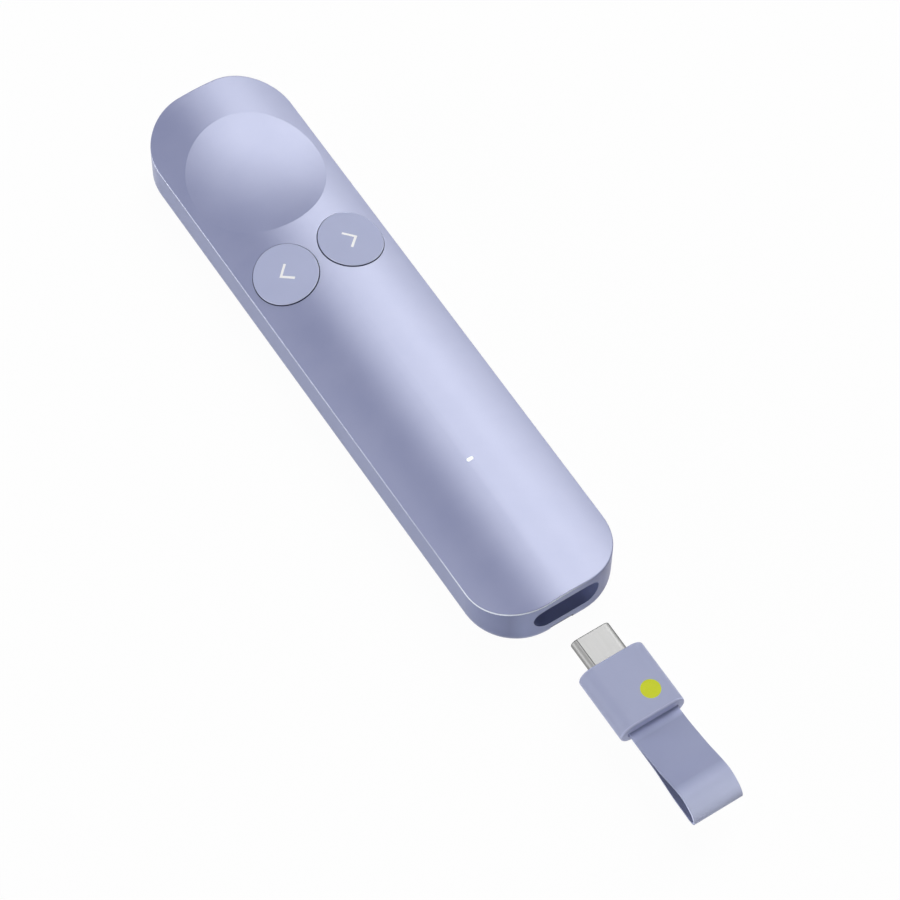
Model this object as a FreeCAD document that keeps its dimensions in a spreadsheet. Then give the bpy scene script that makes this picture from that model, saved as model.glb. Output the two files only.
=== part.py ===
import FreeCAD, Part
import math
import os
import re
import Sketcher
from FreeCAD import Placement, Rotation, Vector

# A wireless presentation clicker in millimetres. The origin is the middle of the base plane,
# +X to the right, +Y towards the pointing end, +Z up. The receiver is drawn out of its bay, along -Y.

doc = FreeCAD.newDocument("clicker")

# Contact tails behind the plug, and how far an edge that lies level may still lean.
CONTACTS = 6
LEVEL = 1e-6

# Driving dimensions: cell alias, value, what it is.
SIZES = [
    # Casing
    ("body_width", 30.0, "over the side walls"),
    ("body_length", 130.0, "over the end walls"),
    ("corner_radius", 11.0, "corners of the plan outline"),
    ("crown", 3.25, "top of the domed cover above its rim at the sides"),
    ("crest_height", 13.5, "base to the top of the domed cover"),
    ("base_fillet", 3.2, "round at the foot of the walls"),
    ("rim_fillet", 0.25, "round on the cover's edge"),
    ("rim_skin", 0.35, "cover's edge that lies on the walls"),
    ("seam_gap", 0.08, "parting line under the cover's edge"),
    ("cover_wall", 1.3, "thickness of the domed cover"),
    ("cover_fit", 0.08, "cover to the wall's outer lip, each side"),
    ("lip_wall", 0.8, "outer lip of the walls"),
    ("side_wall", 1.6, "side and front walls"),
    ("floor_wall", 1.6, "floor of the lower shell"),
    ("dock_wall", 4.0, "end wall round the receiver bay"),
    ("dock_corner_gap", 0.4, "liner to the round inner corners"),
    ("notch_width", 5.0, "pry notch at the foot of the end wall"),
    ("notch_foot", 0.9, "underside of the pry notch above the base"),
    ("notch_height", 2.0, "pry notch"),
    ("notch_depth", 0.6, "pry notch into the end wall"),
    ("notch_aside", 1.0, "pry notch to the left of the middle"),
    ("overrun", 3.0, "how far a cut runs past what it cuts"),
    # Thumb dish
    ("dish_margin", 1.2, "dish outline inside the walls"),
    ("dish_from_front", 22.35, "dish centre behind the front end"),
    ("dish_depth", 1.2, "below the crest"),
    ("dish_floor", 1.5, "plastic under the lowest point of the dish"),
    ("dish_boss_inset", 1.0, "dish outline to the boss under it"),
    # Keys
    ("key_margin", 1.33, "key inside the walls, seen from above"),
    ("key_gap", 0.14, "key cap to its hole, all round"),
    ("key_bridge", 1.74, "cover between the two keys"),
    ("key_behind_dish", 22.65, "key centre behind the dish centre"),
    ("key_proud", 0.3, "key face above the dome, all over"),
    ("key_round", 0.2, "round on the key's edge"),
    ("key_skin", 1.1, "thickness of the key's face"),
    ("key_skirt_wall", 0.9, "wall of the key's skirt"),
    ("key_travel", 0.3, "press"),
    ("tab_reach", 0.9, "retaining tab beyond the skirt"),
    ("tab_width", 4.0, "retaining tab"),
    ("tab_thick", 0.6, "retaining tab"),
    ("tab_play", 0.1, "retaining tab under the cover"),
    ("stem_radius", 0.9, "stem under the key"),
    ("stem_play", 0.02, "stem to the switch button"),
    ("mark_stroke", 0.5, "line of the arrow on a key"),
    ("mark_reach", 1.1, "half the arrow's depth"),
    ("mark_span", 2.0, "half the arrow's height"),
    ("mark_shift", 0.3, "arrow's middle from the key's middle, outwards"),
    ("mark_deep", 0.35, "moulded arrow below the key's face"),
    # Receiver bay and receiver
    ("dock_under", 4.0, "receiver axis below the underside of the crest"),
    ("receiver_width", 13.8, "over the full round sides"),
    ("receiver_thick", 5.6, "top to bottom"),
    ("receiver_length", 13.8, "front face to rear face"),
    ("receiver_wall", 0.9, "housing wall"),
    ("receiver_rear_wall", 1.4, "housing wall at the strap"),
    ("receiver_round", 0.45, "round on the housing's edges"),
    ("nose_thick", 1.6, "front plate round the plug"),
    ("nose_fit", 0.03, "front plate and plug fits"),
    ("dock_clear", 0.2, "receiver to the bay, each side"),
    ("dock_play", 0.35, "receiver to the bay, above and below"),
    ("dock_recess", 0.2, "rear face inside the end wall when docked"),
    ("dock_end_gap", 0.2, "front face to the bay's end when docked"),
    ("pull_out", 27.65, "how far the receiver is drawn out"),
    ("sleeve_wall", 0.45, "liner of the bay"),
    ("sleeve_back", 1.0, "liner's end plate"),
    ("plug_width", 8.25, "plug shell"),
    ("plug_thick", 2.4, "plug shell"),
    ("plug_length", 6.65, "plug shell in front of the housing"),
    ("plug_root", 3.2, "plug shell inside the housing"),
    ("plug_wall", 0.25, "plug shell metal"),
    ("plug_tip_round", 0.2, "rolled edge at the plug's tip"),
    ("insert_side", 0.425, "plug insert beside its slot"),
    ("insert_top", 0.475, "plug insert over its slot"),
    ("slot_depth", 5.6, "slot in the plug's insert"),
    ("receiver_mark_radius", 1.9, "round mark on the housing"),
    ("receiver_mark_x", 2.3, "round mark from the middle"),
    ("receiver_mark_y", 4.5, "round mark from the rear face"),
    ("receiver_mark_deep", 0.3, "round mark into the housing"),
    ("stick_board_length", 6.0, "receiver's board"),
    ("stick_board_thick", 0.6, "receiver's board"),
    ("stick_chip_width", 4.0, "receiver's radio chip"),
    ("stick_chip_thick", 0.8, "receiver's radio chip"),
    ("contact_width", 0.3, "plug contact tail"),
    ("contact_length", 1.4, "plug contact tail"),
    ("contact_thick", 0.2, "plug contact tail"),
    ("contact_pitch", 0.9, "between contact tails"),
    # Strap
    ("strap_side", 0.8, "strap inside the housing, each side"),
    ("strap_thick", 0.45, "tape"),
    ("strap_reach", 20.4, "loop beyond the rear face"),
    ("strap_round", 1.8, "outer radius of the loop's end"),
    ("strap_rise", 0.25, "loop's end above the receiver's axis"),
    ("strap_root", 3.6, "where the two layers part, behind the rear face"),
    ("strap_slot_clear", 0.25, "slot round the strap"),
    ("eye_radius", 1.25, "strap eye round its pin"),
    ("pin_radius", 0.6, "strap pin"),
    ("pin_inset", 2.9, "strap pin in front of the rear face"),
    ("pin_bite", 0.4, "strap pin into each side of the housing"),
    # Charging socket
    ("socket_play", 0.12, "plug in its socket, all round"),
    ("plug_end_gap", 0.27, "docked plug to the base of the socket"),
    ("socket_wall", 0.28, "socket shell metal"),
    ("tongue_fit", 0.15, "tongue in the plug, all round"),
    ("tongue_short", 1.0, "tongue shorter than the slot in the plug"),
    ("tongue_base", 0.5, "socket's moulded base"),
    ("socket_clear", 0.1, "socket to the liner's end plate"),
    # Main board
    ("board_thick", 1.0, "both boards"),
    ("board_side_gap", 1.4, "main board to the side walls"),
    ("neck_gap", 0.5, "main board to the case posts"),
    ("board_step", 0.7, "socket to where the main board widens"),
    ("board_past_led", 8.4, "main board beyond the status light"),
    ("board_corner", 1.0, "board corners"),
    ("led_from_end", 32.6, "status light from the end with the bay"),
    ("led_width", 1.6, "status light chip"),
    ("led_depth", 0.8, "status light chip"),
    ("led_thick", 0.5, "status light chip"),
    ("pipe_width", 1.35, "light pipe across"),
    ("pipe_depth", 0.65, "light pipe along"),
    ("pipe_fit", 0.04, "light pipe in its hole"),
    ("pipe_gap", 0.15, "light pipe above the chip"),
    ("pipe_proud", 0.04, "light pipe above the crest"),
    ("shield_width", 6.4, "radio shield can"),
    ("shield_length", 11.0, "radio shield can"),
    ("shield_thick", 1.5, "radio shield can"),
    ("shield_wall", 0.2, "radio shield can"),
    ("shield_x", -5.2, "middle of the shield can"),
    ("shield_behind_led", 1.1, "middle of the shield can behind the light"),
    ("radio_chip_width", 4.5, "radio chip under the can"),
    ("radio_chip_thick", 0.9, "radio chip under the can"),
    ("charger_chip_width", 3.6, "charging chip"),
    ("charger_chip_thick", 0.8, "charging chip"),
    ("charger_chip_x", 5.2, "middle of the charging chip"),
    ("charger_behind_led", 3.6, "middle of the charging chip behind the light"),
    ("antenna_width", 6.4, "chip antenna"),
    ("antenna_depth", 1.6, "chip antenna"),
    ("antenna_thick", 1.0, "chip antenna"),
    ("antenna_gap", 1.5, "chip antenna to a screw head"),
    ("antenna_inset", 2.0, "chip antenna from the step of the board"),
    # Battery
    ("battery_side_gap", 3.15, "battery cell to the side walls"),
    ("battery_near_gap", 3.5, "main board to the cell"),
    ("battery_over", 4.0, "battery cell to the underside of the crest"),
    ("battery_round", 1.2, "battery cell edges"),
    ("battery_far_gap", 2.0, "cell to the key board"),
    ("battery_pad_thick", 0.4, "adhesive pad"),
    ("battery_pad_inset", 2.0, "adhesive pad inside the cell's outline"),
    ("connector_width", 4.2, "battery connector"),
    ("connector_length", 3.0, "battery connector"),
    ("connector_thick", 1.5, "battery connector"),
    ("connector_gap", 0.5, "battery connector to a screw head"),
    ("wire_radius", 0.35, "battery wires"),
    ("wire_pitch", 1.5, "between the battery wires"),
    # Key board and switches
    ("key_board_side_gap", 1.0, "key board to the side walls"),
    ("key_board_length", 19.0, "key board"),
    ("key_stack", 4.763, "upper face of the key board below the dome at a key"),
    ("switch_width", 4.4, "tact switch"),
    ("switch_thick", 0.8, "tact switch"),
    ("button_radius", 0.8, "tact switch button"),
    ("button_rise", 0.5, "button above its switch"),
    ("button_gap", 0.15, "button in its switch"),
    ("stroke_spare", 0.05, "button above the board when pressed"),
    # Dish sensor
    ("sensor_radius", 4.5, "force sensor"),
    ("sensor_thick", 0.5, "force sensor"),
    ("bridge_side", 4.2, "sensor bridge inside the outer side faces"),
    ("bridge_depth", 8.0, "sensor bridge along the body"),
    ("bridge_thick", 0.8, "sensor bridge sheet"),
    ("haptic_side", 10.4, "haptic actuator inside the outer side faces"),
    ("haptic_thick", 3.4, "haptic actuator"),
    ("haptic_from_front", 14.0, "haptic actuator behind the front end"),
    ("haptic_foam", 0.4, "haptic actuator's adhesive ring"),
    ("flex_thick", 0.2, "flat cables"),
    ("flex_width", 5.0, "flat cables"),
    ("flex_landing", 1.6, "flat cable's end on a board"),
    ("flex_slack", 0.5, "flat cable clear of a corner"),
    # Screws, posts and base pad
    ("case_post_gap", 2.2, "case posts beside the bay to the side walls"),
    ("case_post_past", 4.7, "case posts beyond the mouth of the socket"),
    ("case_front_side", 7.5, "front case screws inside the outer side faces"),
    ("case_front_inset", 11.0, "front case screws behind the front end"),
    ("case_post_radius", 2.4, "lower posts"),
    ("case_boss_radius", 1.9, "upper bosses"),
    ("case_split", 5.0, "height where posts and bosses meet"),
    ("screw_radius", 0.8, "case screw thread"),
    ("screw_length", 6.0, "case screw under its head"),
    ("screw_head_radius", 1.5, "case screw head"),
    ("screw_head_thick", 0.9, "case screw head"),
    ("seat_lift", 0.4, "seat of the heads above the floor"),
    ("drive_radius", 0.6, "screw drive recess"),
    ("drive_deep", 0.5, "screw drive recess"),
    ("screw_clear", 0.15, "clearance holes, all round"),
    ("thread_fit", 0.02, "screw threads in their bores"),
    ("bore_spare", 0.3, "bore beyond a screw's end"),
    ("board_post_side", 3.0, "board screws from the side walls"),
    ("board_post_radius", 1.5, "board posts"),
    ("board_post_inset", 2.2, "board screws from a board's edge"),
    ("board_screw_radius", 0.6, "board screw thread"),
    ("board_tip_gap", 0.25, "main board screws to the floor"),
    ("board_head_radius", 1.1, "board screw head"),
    ("board_head_thick", 0.6, "board screw head"),
    ("pad_side", 1.5, "base pad inside the round foot of the side walls"),
    ("pad_end", 3.5, "base pad inside the round foot of the end walls"),
    ("pad_corner", 8.0, "base pad"),
    ("pad_thick", 0.8, "base pad"),
    ("pad_fit", 0.08, "base pad in its recess"),
    ("rib_half_width", 4.0, "ribs that hold the liner"),
    ("rib_depth", 2.0, "ribs that hold the liner"),
    ("rib_fit", 0.05, "ribs to the liner"),
]

# Places and sizes that follow from them: cell alias, formula.
WORKED = [
    ("half_width", "body_width / 2"),
    ("half_length", "body_length / 2"),
    ("dome_radius", "(half_width ^ 2 + crown ^ 2) / (2 * crown)"),
    ("dome_axis", "crest_height - dome_radius"),
    ("past_side", "half_width + overrun"),
    ("dome_edge", "dome_axis + sqrt(dome_radius ^ 2 - past_side ^ 2)"),
    ("skin_radius", "dome_radius - rim_skin"),
    ("skin_edge", "dome_axis + sqrt(skin_radius ^ 2 - past_side ^ 2)"),
    ("wall_top_radius", "skin_radius - seam_gap"),
    ("wall_top_edge", "dome_axis + sqrt(wall_top_radius ^ 2 - past_side ^ 2)"),
    ("under_radius", "dome_radius - cover_wall"),
    ("under_edge", "dome_axis + sqrt(under_radius ^ 2 - past_side ^ 2)"),
    ("under_crest", "crest_height - cover_wall"),
    ("wall_inside", "half_width - side_wall"),
    ("above", "crest_height + overrun"),
    ("dish_radius", "half_width - dish_margin"),
    ("dish_place", "half_length - dish_from_front"),
    ("dish_long_radius", "dish_radius ^ 2 / (2 * dish_depth)"),
    ("dish_cross_radius", "1 / (1 / dome_radius - 1 / dish_long_radius)"),
    ("dish_low", "crest_height - dish_depth"),
    ("dish_axis", "dish_low - dish_cross_radius"),
    ("dish_under", "dish_low - dish_floor"),
    ("key_radius", "(body_width - 2 * key_margin - key_bridge) / 4"),
    ("key_spread", "key_bridge / 2 + key_radius"),
    ("key_place", "dish_place - key_behind_dish"),
    ("key_height", "dome_axis + sqrt(dome_radius ^ 2 - key_spread ^ 2)"),
    ("key_tilt", "asin(key_spread / dome_radius)"),
    ("key_hole_radius", "key_radius + key_gap"),
    ("key_face_radius", "dome_radius + key_proud"),
    ("key_side", "key_radius + overrun"),
    ("key_face_edge", "sqrt(key_face_radius ^ 2 - key_side ^ 2) - dome_radius"),
    ("tab_top", "-cover_wall - tab_play"),
    ("key_foot", "tab_top - tab_thick"),
    ("key_board_top", "key_height - key_stack"),
    ("button_stroke_gap", "key_travel + stroke_spare"),
    ("button_top", "key_board_top + switch_thick + button_rise"),
    ("stem_foot", "-(key_height - button_top - stem_radius * sin(key_tilt) - stem_play) / cos(key_tilt)"),
    ("switch_x", "key_spread + stem_foot * sin(key_tilt)"),
    ("bay_width", "receiver_width + 2 * dock_clear"),
    ("bay_thick", "receiver_thick + 2 * dock_play"),
    ("dock_axis", "under_crest - dock_under"),
    ("dock_corner", "wall_inside - bay_width / 2 - sleeve_wall - dock_corner_gap"),
    ("sleeve_foot", "dock_axis - bay_thick / 2 - sleeve_wall"),
    ("sleeve_head", "dock_axis + bay_thick / 2 + sleeve_wall"),
    ("sleeve_start", "-half_length + dock_wall"),
    ("bay_end", "-half_length + dock_recess + receiver_length + dock_end_gap"),
    ("sleeve_end", "bay_end + sleeve_back"),
    ("receiver_rear", "-half_length + dock_recess - pull_out"),
    ("receiver_front", "receiver_rear + receiver_length"),
    ("plug_tip", "receiver_front + plug_length"),
    ("plug_back", "receiver_front - plug_root"),
    ("plug_inner_width", "plug_width - 2 * plug_wall"),
    ("plug_inner_thick", "plug_thick - 2 * plug_wall"),
    ("slot_width", "plug_inner_width - 2 * insert_side"),
    ("slot_thick", "plug_inner_thick - 2 * insert_top"),
    ("stick_inner_width", "receiver_width - 2 * receiver_wall"),
    ("stick_inner_thick", "receiver_thick - 2 * receiver_wall"),
    ("stick_board_front", "plug_back - nose_fit"),
    ("stick_board_foot", "dock_axis - stick_board_thick / 2"),
    ("stick_board_head", "dock_axis + stick_board_thick / 2"),
    ("stick_board_width", "stick_inner_width - stick_inner_thick + sqrt(stick_inner_thick ^ 2"
                          " - stick_board_thick ^ 2) - 2 * nose_fit"),
    ("pin_place", "receiver_rear + pin_inset"),
    ("pin_length", "stick_inner_width + 2 * pin_bite"),
    ("strap_width", "stick_inner_width - 2 * strap_side"),
    ("strap_end", "receiver_rear - strap_reach"),
    ("socket_front", "bay_end + socket_clear"),
    ("socket_width", "plug_width + 2 * (socket_play + socket_wall)"),
    ("socket_thick", "plug_thick + 2 * (socket_play + socket_wall)"),
    ("socket_back", "plug_tip + pull_out + plug_end_gap + tongue_base + socket_wall"),
    ("socket_length", "socket_back - socket_front"),
    ("tongue_width", "slot_width - 2 * tongue_fit"),
    ("tongue_thick", "slot_thick - 2 * tongue_fit"),
    ("tongue_length", "slot_depth - tongue_short"),
    ("board_top", "dock_axis - socket_thick / 2"),
    ("board_under", "board_top - board_thick"),
    ("board_start", "sleeve_end + 2 * socket_clear"),
    ("board_half_width", "wall_inside - board_side_gap"),
    ("board_wide_start", "socket_back + board_step"),
    ("led_place", "-half_length + led_from_end"),
    ("board_end", "led_place + board_past_led"),
    ("shield_y", "led_place - shield_behind_led"),
    ("charger_chip_y", "led_place - charger_behind_led"),
    ("antenna_y", "board_wide_start + antenna_inset"),
    ("board_post_x", "wall_inside - board_post_side"),
    ("antenna_x", "board_post_x - board_head_radius - antenna_gap - antenna_width / 2"),
    ("connector_x", "board_post_x - board_head_radius - connector_gap - connector_width / 2"),
    ("case_post_x", "wall_inside - case_post_radius - case_post_gap"),
    ("case_post_y", "socket_front + case_post_past"),
    ("neck_half_width", "case_post_x - case_post_radius - neck_gap"),
    ("case_front_x", "half_width - case_front_side"),
    ("case_front_y", "half_length - case_front_inset"),
    ("screw_seat", "floor_wall + seat_lift"),
    ("pad_width", "body_width - 2 * (base_fillet + pad_side)"),
    ("pad_length", "body_length - 2 * (base_fillet + pad_end)"),
    ("haptic_place", "half_length - haptic_from_front"),
    ("haptic_radius", "half_width - haptic_side"),
    ("board_screw_length", "board_top - floor_wall - board_tip_gap"),
    ("led_top", "board_top + led_thick"),
    ("battery_foot", "floor_wall + battery_pad_thick"),
    ("battery_head", "under_crest - battery_over"),
    ("battery_width", "2 * (wall_inside - battery_side_gap)"),
    ("battery_near", "board_end + battery_near_gap"),
    ("battery_far", "key_place - key_board_length / 2 - battery_far_gap"),
    ("battery_length", "battery_far - battery_near"),
    ("connector_end", "board_end - board_corner"),
    ("connector_y", "connector_end - connector_length / 2"),
    ("key_board_under", "key_board_top - board_thick"),
    ("key_board_half_width", "wall_inside - key_board_side_gap"),
    ("key_board_near", "key_place - key_board_length / 2"),
    ("key_board_far", "key_place + key_board_length / 2"),
    ("sensor_foot", "dish_under - sensor_thick"),
    ("bridge_half_width", "half_width - bridge_side"),
    ("bridge_under", "sensor_foot - bridge_thick"),
    ("screw_tip", "screw_seat + screw_length"),
    ("board_screw_rear_y", "board_wide_start + board_post_inset"),
    ("board_screw_front_y", "board_end - board_post_inset"),
    ("key_screw_rear_y", "key_board_near + board_post_inset"),
    ("key_screw_front_y", "key_board_far - board_post_inset"),
]

sheet = doc.addObject("Spreadsheet::Sheet", "sizes")
row = 0
for alias, value, note in SIZES:
    row += 1
    sheet.set(f"A{row}", alias)
    sheet.set(f"B{row}", str(value))
    sheet.set(f"C{row}", note)
    sheet.setAlias(f"B{row}", alias)
for alias, formula in WORKED:
    row += 1
    sheet.set(f"A{row}", alias)
    sheet.set(f"B{row}", "=" + formula)
    sheet.setAlias(f"B{row}", alias)
doc.recompute()

ALIASES = {entry[0] for entry in SIZES + WORKED}


def linked(formula):
    """The formula with each alias pointing at the sheet."""
    return re.sub(r"[A-Za-z_]\w*",
                  lambda word: "sizes." + word.group() if word.group() in ALIASES else word.group(),
                  formula)


def number(formula):
    """What the formula is worth now."""
    value = sheet.evalExpression(formula)
    return float(getattr(value, "Value", value))


def bind(thing, name, formula):
    thing.setExpression(name, linked(formula))


# Sketches. Every point is held from the sketch's origin by named sizes.

def hold_point(sketch, geometry, end, x, y):
    for kind, formula in (("DistanceX", x), ("DistanceY", y)):
        index = sketch.addConstraint(Sketcher.Constraint(kind, geometry, end, number(formula)))
        bind(sketch, f"Constraints[{index}]", formula)


def hold_radius(sketch, geometry, radius):
    index = sketch.addConstraint(Sketcher.Constraint("Radius", geometry, number(radius)))
    bind(sketch, f"Constraints[{index}]", radius)


def arc_between(start, end, radius, side):
    """A minor arc from start to end, bulging to the left (side 1) or right (side -1)."""
    chord = end - start
    left = Vector(-chord.y, chord.x, 0).normalize()
    reach = math.sqrt(max(radius ** 2 - (chord.Length / 2) ** 2, 0))
    centre = (start + end) * 0.5 - left * reach * side
    angles = [math.atan2(p.y - centre.y, p.x - centre.x) for p in (start, end)]
    first, last = angles if side < 0 else reversed(angles)
    if last < first:
        last += 2 * math.pi
    return Part.ArcOfCircle(Part.Circle(centre, Vector(0, 0, 1), radius), first, last)


def outline(sketch, points, arcs=None):
    """A closed outline. arcs gives, for an edge's number, its radius and the side it bulges to."""
    arcs = arcs or {}
    places = [Vector(number(x), number(y), 0) for x, y in points]
    edges = []
    for i, place in enumerate(places):
        follower = places[(i + 1) % len(places)]
        if i in arcs:
            radius, side = arcs[i]
            shape = arc_between(place, follower, number(radius), side)
            ends = (1, 2) if side < 0 else (2, 1)
        else:
            shape = Part.LineSegment(place, follower)
            ends = (1, 2)
        edges.append((sketch.addGeometry(shape), ends))
    for i, (geometry, ends) in enumerate(edges):
        follower, follower_ends = edges[(i + 1) % len(edges)]
        sketch.addConstraint(Sketcher.Constraint("Coincident", geometry, ends[1],
                                                 follower, follower_ends[0]))
    for i, (geometry, ends) in enumerate(edges):
        hold_point(sketch, geometry, ends[0], *points[i])
        if i in arcs:
            hold_radius(sketch, geometry, arcs[i][0])


def rectangle(sketch, left, right, low, high):
    outline(sketch, [(left, low), (right, low), (right, high), (left, high)])


def rounded(sketch, left, right, low, high, low_round, high_round=None):
    """A rectangle with round corners, in sketch axes."""
    a, b = f"({low_round})", f"({high_round or low_round})"
    points = [
        (f"{left} + {a}", low), (f"{right} - {a}", low),
        (right, f"{low} + {a}"), (right, f"{high} - {b}"),
        (f"{right} - {b}", high), (f"{left} + {b}", high),
        (left, f"{high} - {b}"), (left, f"{low} + {a}"),
    ]
    outline(sketch, points, {1: (a, -1), 3: (b, -1), 5: (b, -1), 7: (a, -1)})


def circle(sketch, radius, x="0", y="0"):
    shape = Part.Circle(Vector(number(x), number(y), 0), Vector(0, 0, 1), number(radius))
    geometry = sketch.addGeometry(shape)
    hold_point(sketch, geometry, 3, x, y)
    hold_radius(sketch, geometry, radius)


def stadium(sketch, width, height, x="0", y="0"):
    """A slot outline with full round ends, its long side along the sketch's x."""
    radius = number(height) / 2
    half = number(width) / 2 - radius
    cx, cy = number(x), number(y)
    up = Vector(0, 0, 1)
    right = sketch.addGeometry(Part.ArcOfCircle(
        Part.Circle(Vector(cx + half, cy, 0), up, radius), -math.pi / 2, math.pi / 2))
    left = sketch.addGeometry(Part.ArcOfCircle(
        Part.Circle(Vector(cx - half, cy, 0), up, radius), math.pi / 2, 3 * math.pi / 2))
    top = sketch.addGeometry(Part.LineSegment(Vector(cx + half, cy + radius, 0),
                                              Vector(cx - half, cy + radius, 0)))
    foot = sketch.addGeometry(Part.LineSegment(Vector(cx - half, cy - radius, 0),
                                               Vector(cx + half, cy - radius, 0)))
    for a, a_end, b, b_end in ((right, 2, top, 1), (top, 2, left, 1), (left, 2, foot, 1), (foot, 2, right, 1)):
        sketch.addConstraint(Sketcher.Constraint("Coincident", a, a_end, b, b_end))
    for arc in (right, left):
        for end in (1, 2):
            sketch.addConstraint(Sketcher.Constraint("Vertical", arc, end, arc, 3))
    sketch.addConstraint(Sketcher.Constraint("Horizontal", top))
    hold_point(sketch, right, 3, f"{x} + ({width}) / 2 - ({height}) / 2", y)
    hold_point(sketch, left, 3, f"{x} - ({width}) / 2 + ({height}) / 2", y)
    hold_radius(sketch, right, f"({height}) / 2")


# Bodies and their features.

def new_body(label, x="0", y="0", z="0", tilt=None):
    """A sub-part. tilt turns it about its own Y axis."""
    body = doc.addObject("PartDesign::Body", label)
    body.Label = label
    if tilt:
        body.Placement = Placement(Vector(), Rotation(Vector(0, 1, 0), 1))
        bind(body, "Placement.Rotation.Angle", tilt)
    for axis, formula in zip("xyz", (x, y, z)):
        bind(body, f"Placement.Base.{axis}", formula)
    return body


def new_sketch(body, plane, name, x="0", y="0", z="0", tilt=None):
    """A sketch on one of the body's origin planes, moved in that plane's own axes."""
    sketch = body.newObject("Sketcher::SketchObject", f"{body.Name}_{name}")
    support = next(item for item in body.Origin.OriginFeatures if item.Role == plane + "_Plane")
    sketch.AttachmentSupport = (support, [""])
    sketch.MapMode = "FlatFace"
    if tilt:
        sketch.AttachmentOffset = Placement(Vector(), Rotation(Vector(0, 1, 0), 1))
        bind(sketch, "AttachmentOffset.Rotation.Angle", tilt)
    for axis, formula in zip("xyz", (x, y, z)):
        bind(sketch, f"AttachmentOffset.Base.{axis}", formula)
    return sketch


def feature(kind, body, sketch, length, both_ways=False, backwards=False):
    """A pad or pocket that must change the body's volume the way its name says."""
    before = body.Shape.Volume if body.Tip else 0
    item = body.newObject("PartDesign::" + kind, f"{sketch.Name}_{kind.lower()}")
    item.Profile = sketch
    item.Type = "Length"
    bind(item, "Length", length)
    if both_ways:
        item.SideType = "Symmetric"
    item.Reversed = backwards
    body.Tip = item
    doc.recompute()
    change = item.Shape.Volume - before
    if (change > 0) != (kind == "Pad") or change == 0:
        raise RuntimeError(f"{item.Name} changes the volume by {change}")
    return item


def pad(body, sketch, length, **how):
    return feature("Pad", body, sketch, length, **how)


def pocket(body, sketch, length, **how):
    return feature("Pocket", body, sketch, length, **how)


def round_edges(body, name, radius, wanted):
    """A fillet on the edges of the body's last feature that wanted picks."""
    base = body.Tip
    names = [f"Edge{i + 1}" for i, edge in enumerate(base.Shape.Edges) if wanted(edge)]
    item = body.newObject("PartDesign::Fillet", f"{body.Name}_{name}")
    item.Base = (base, names)
    bind(item, "Radius", radius)
    body.Tip = item
    doc.recompute()
    return item


def solid_box(name, left, right, near, far, low, high):
    """A plain block between named places."""
    block = doc.addObject("Part::Box", name)
    block.Label = name
    bind(block, "Length", f"{right} - ({left})")
    bind(block, "Width", f"{far} - ({near})")
    bind(block, "Height", f"{high} - ({low})")
    for axis, formula in zip("xyz", (left, near, low)):
        bind(block, f"Placement.Base.{axis}", formula)
    return block


def solid_cylinder(name, radius, x, y, low, high, axis=None):
    """A plain cylinder, along Z unless axis turns it."""
    item = doc.addObject("Part::Cylinder", name)
    item.Label = name
    bind(item, "Radius", radius)
    bind(item, "Height", f"{high} - ({low})")
    if axis:
        item.Placement = Placement(Vector(), Rotation(Vector(0, 0, 1), axis))
    along = {None: 2, "x": 0, "y": 1}[None if axis is None else ("x" if axis.x else "y")]
    places = [x, y]
    places.insert(along, low)
    for letter, formula in zip("xyz", places):
        bind(item, f"Placement.Base.{letter}", formula)
    return item


def cut(name, base, tool):
    item = doc.addObject("Part::Cut", name)
    item.Label = name
    item.Base = base
    item.Tool = tool
    return item


def fuse(name, *shapes):
    item = doc.addObject("Part::MultiFuse", name)
    item.Label = name
    item.Shapes = list(shapes)
    return item


def group(name, items):
    item = doc.addObject("Part::Compound", name)
    item.Label = name
    item.Links = items
    return item


def softened(name, base, radius, wanted):
    """A Part fillet on the edges that wanted picks."""
    doc.recompute()
    item = doc.addObject("Part::Fillet", name)
    item.Label = name
    item.Base = base
    size = number(radius)
    item.Edges = [(i + 1, size, size) for i, edge in enumerate(base.Shape.Edges) if wanted(edge)]
    return item


KEPT = []


def keep(item):
    KEPT.append(item)
    return item


def plan(sketch, inset="0", low_inset=None, low_round=None):
    """The casing's plan outline, drawn inwards by a named wall."""
    side = f"half_width - ({inset})"
    rounding = f"corner_radius - ({inset})"
    rounded(sketch, f"-({side})", side, f"-(half_length - ({low_inset or inset}))",
            f"half_length - ({inset})", low_round or rounding, rounding)


def over_arc(sketch, radius, edge):
    """All that lies over one of the dome's arcs, seen along the body."""
    points = [("-past_side", edge), ("past_side", edge), ("past_side", "above + overrun"),
              ("-past_side", "above + overrun")]
    outline(sketch, points, {0: (radius, 1)})


def under_arc(sketch, radius, edge):
    """All that lies under one of the dome's arcs, seen along the body."""
    points = [("-past_side", edge), ("past_side", edge), ("past_side", "-overrun"),
              ("-past_side", "-overrun")]
    outline(sketch, points, {0: (radius, 1)})


CASE_SCREWS = [("-case_post_x", "case_post_y"), ("case_post_x", "case_post_y"),
               ("-case_front_x", "case_front_y"), ("case_front_x", "case_front_y")]
MAIN_SCREWS = [(x, y) for y in ("board_screw_rear_y", "board_screw_front_y")
               for x in ("-board_post_x", "board_post_x")]
KEY_SCREWS = [(x, y) for y in ("key_screw_rear_y", "key_screw_front_y")
              for x in ("-board_post_x", "board_post_x")]
SIDES = (("back", -1), ("next", 1))
FULL_LENGTH = "body_length + 2 * overrun"


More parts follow.
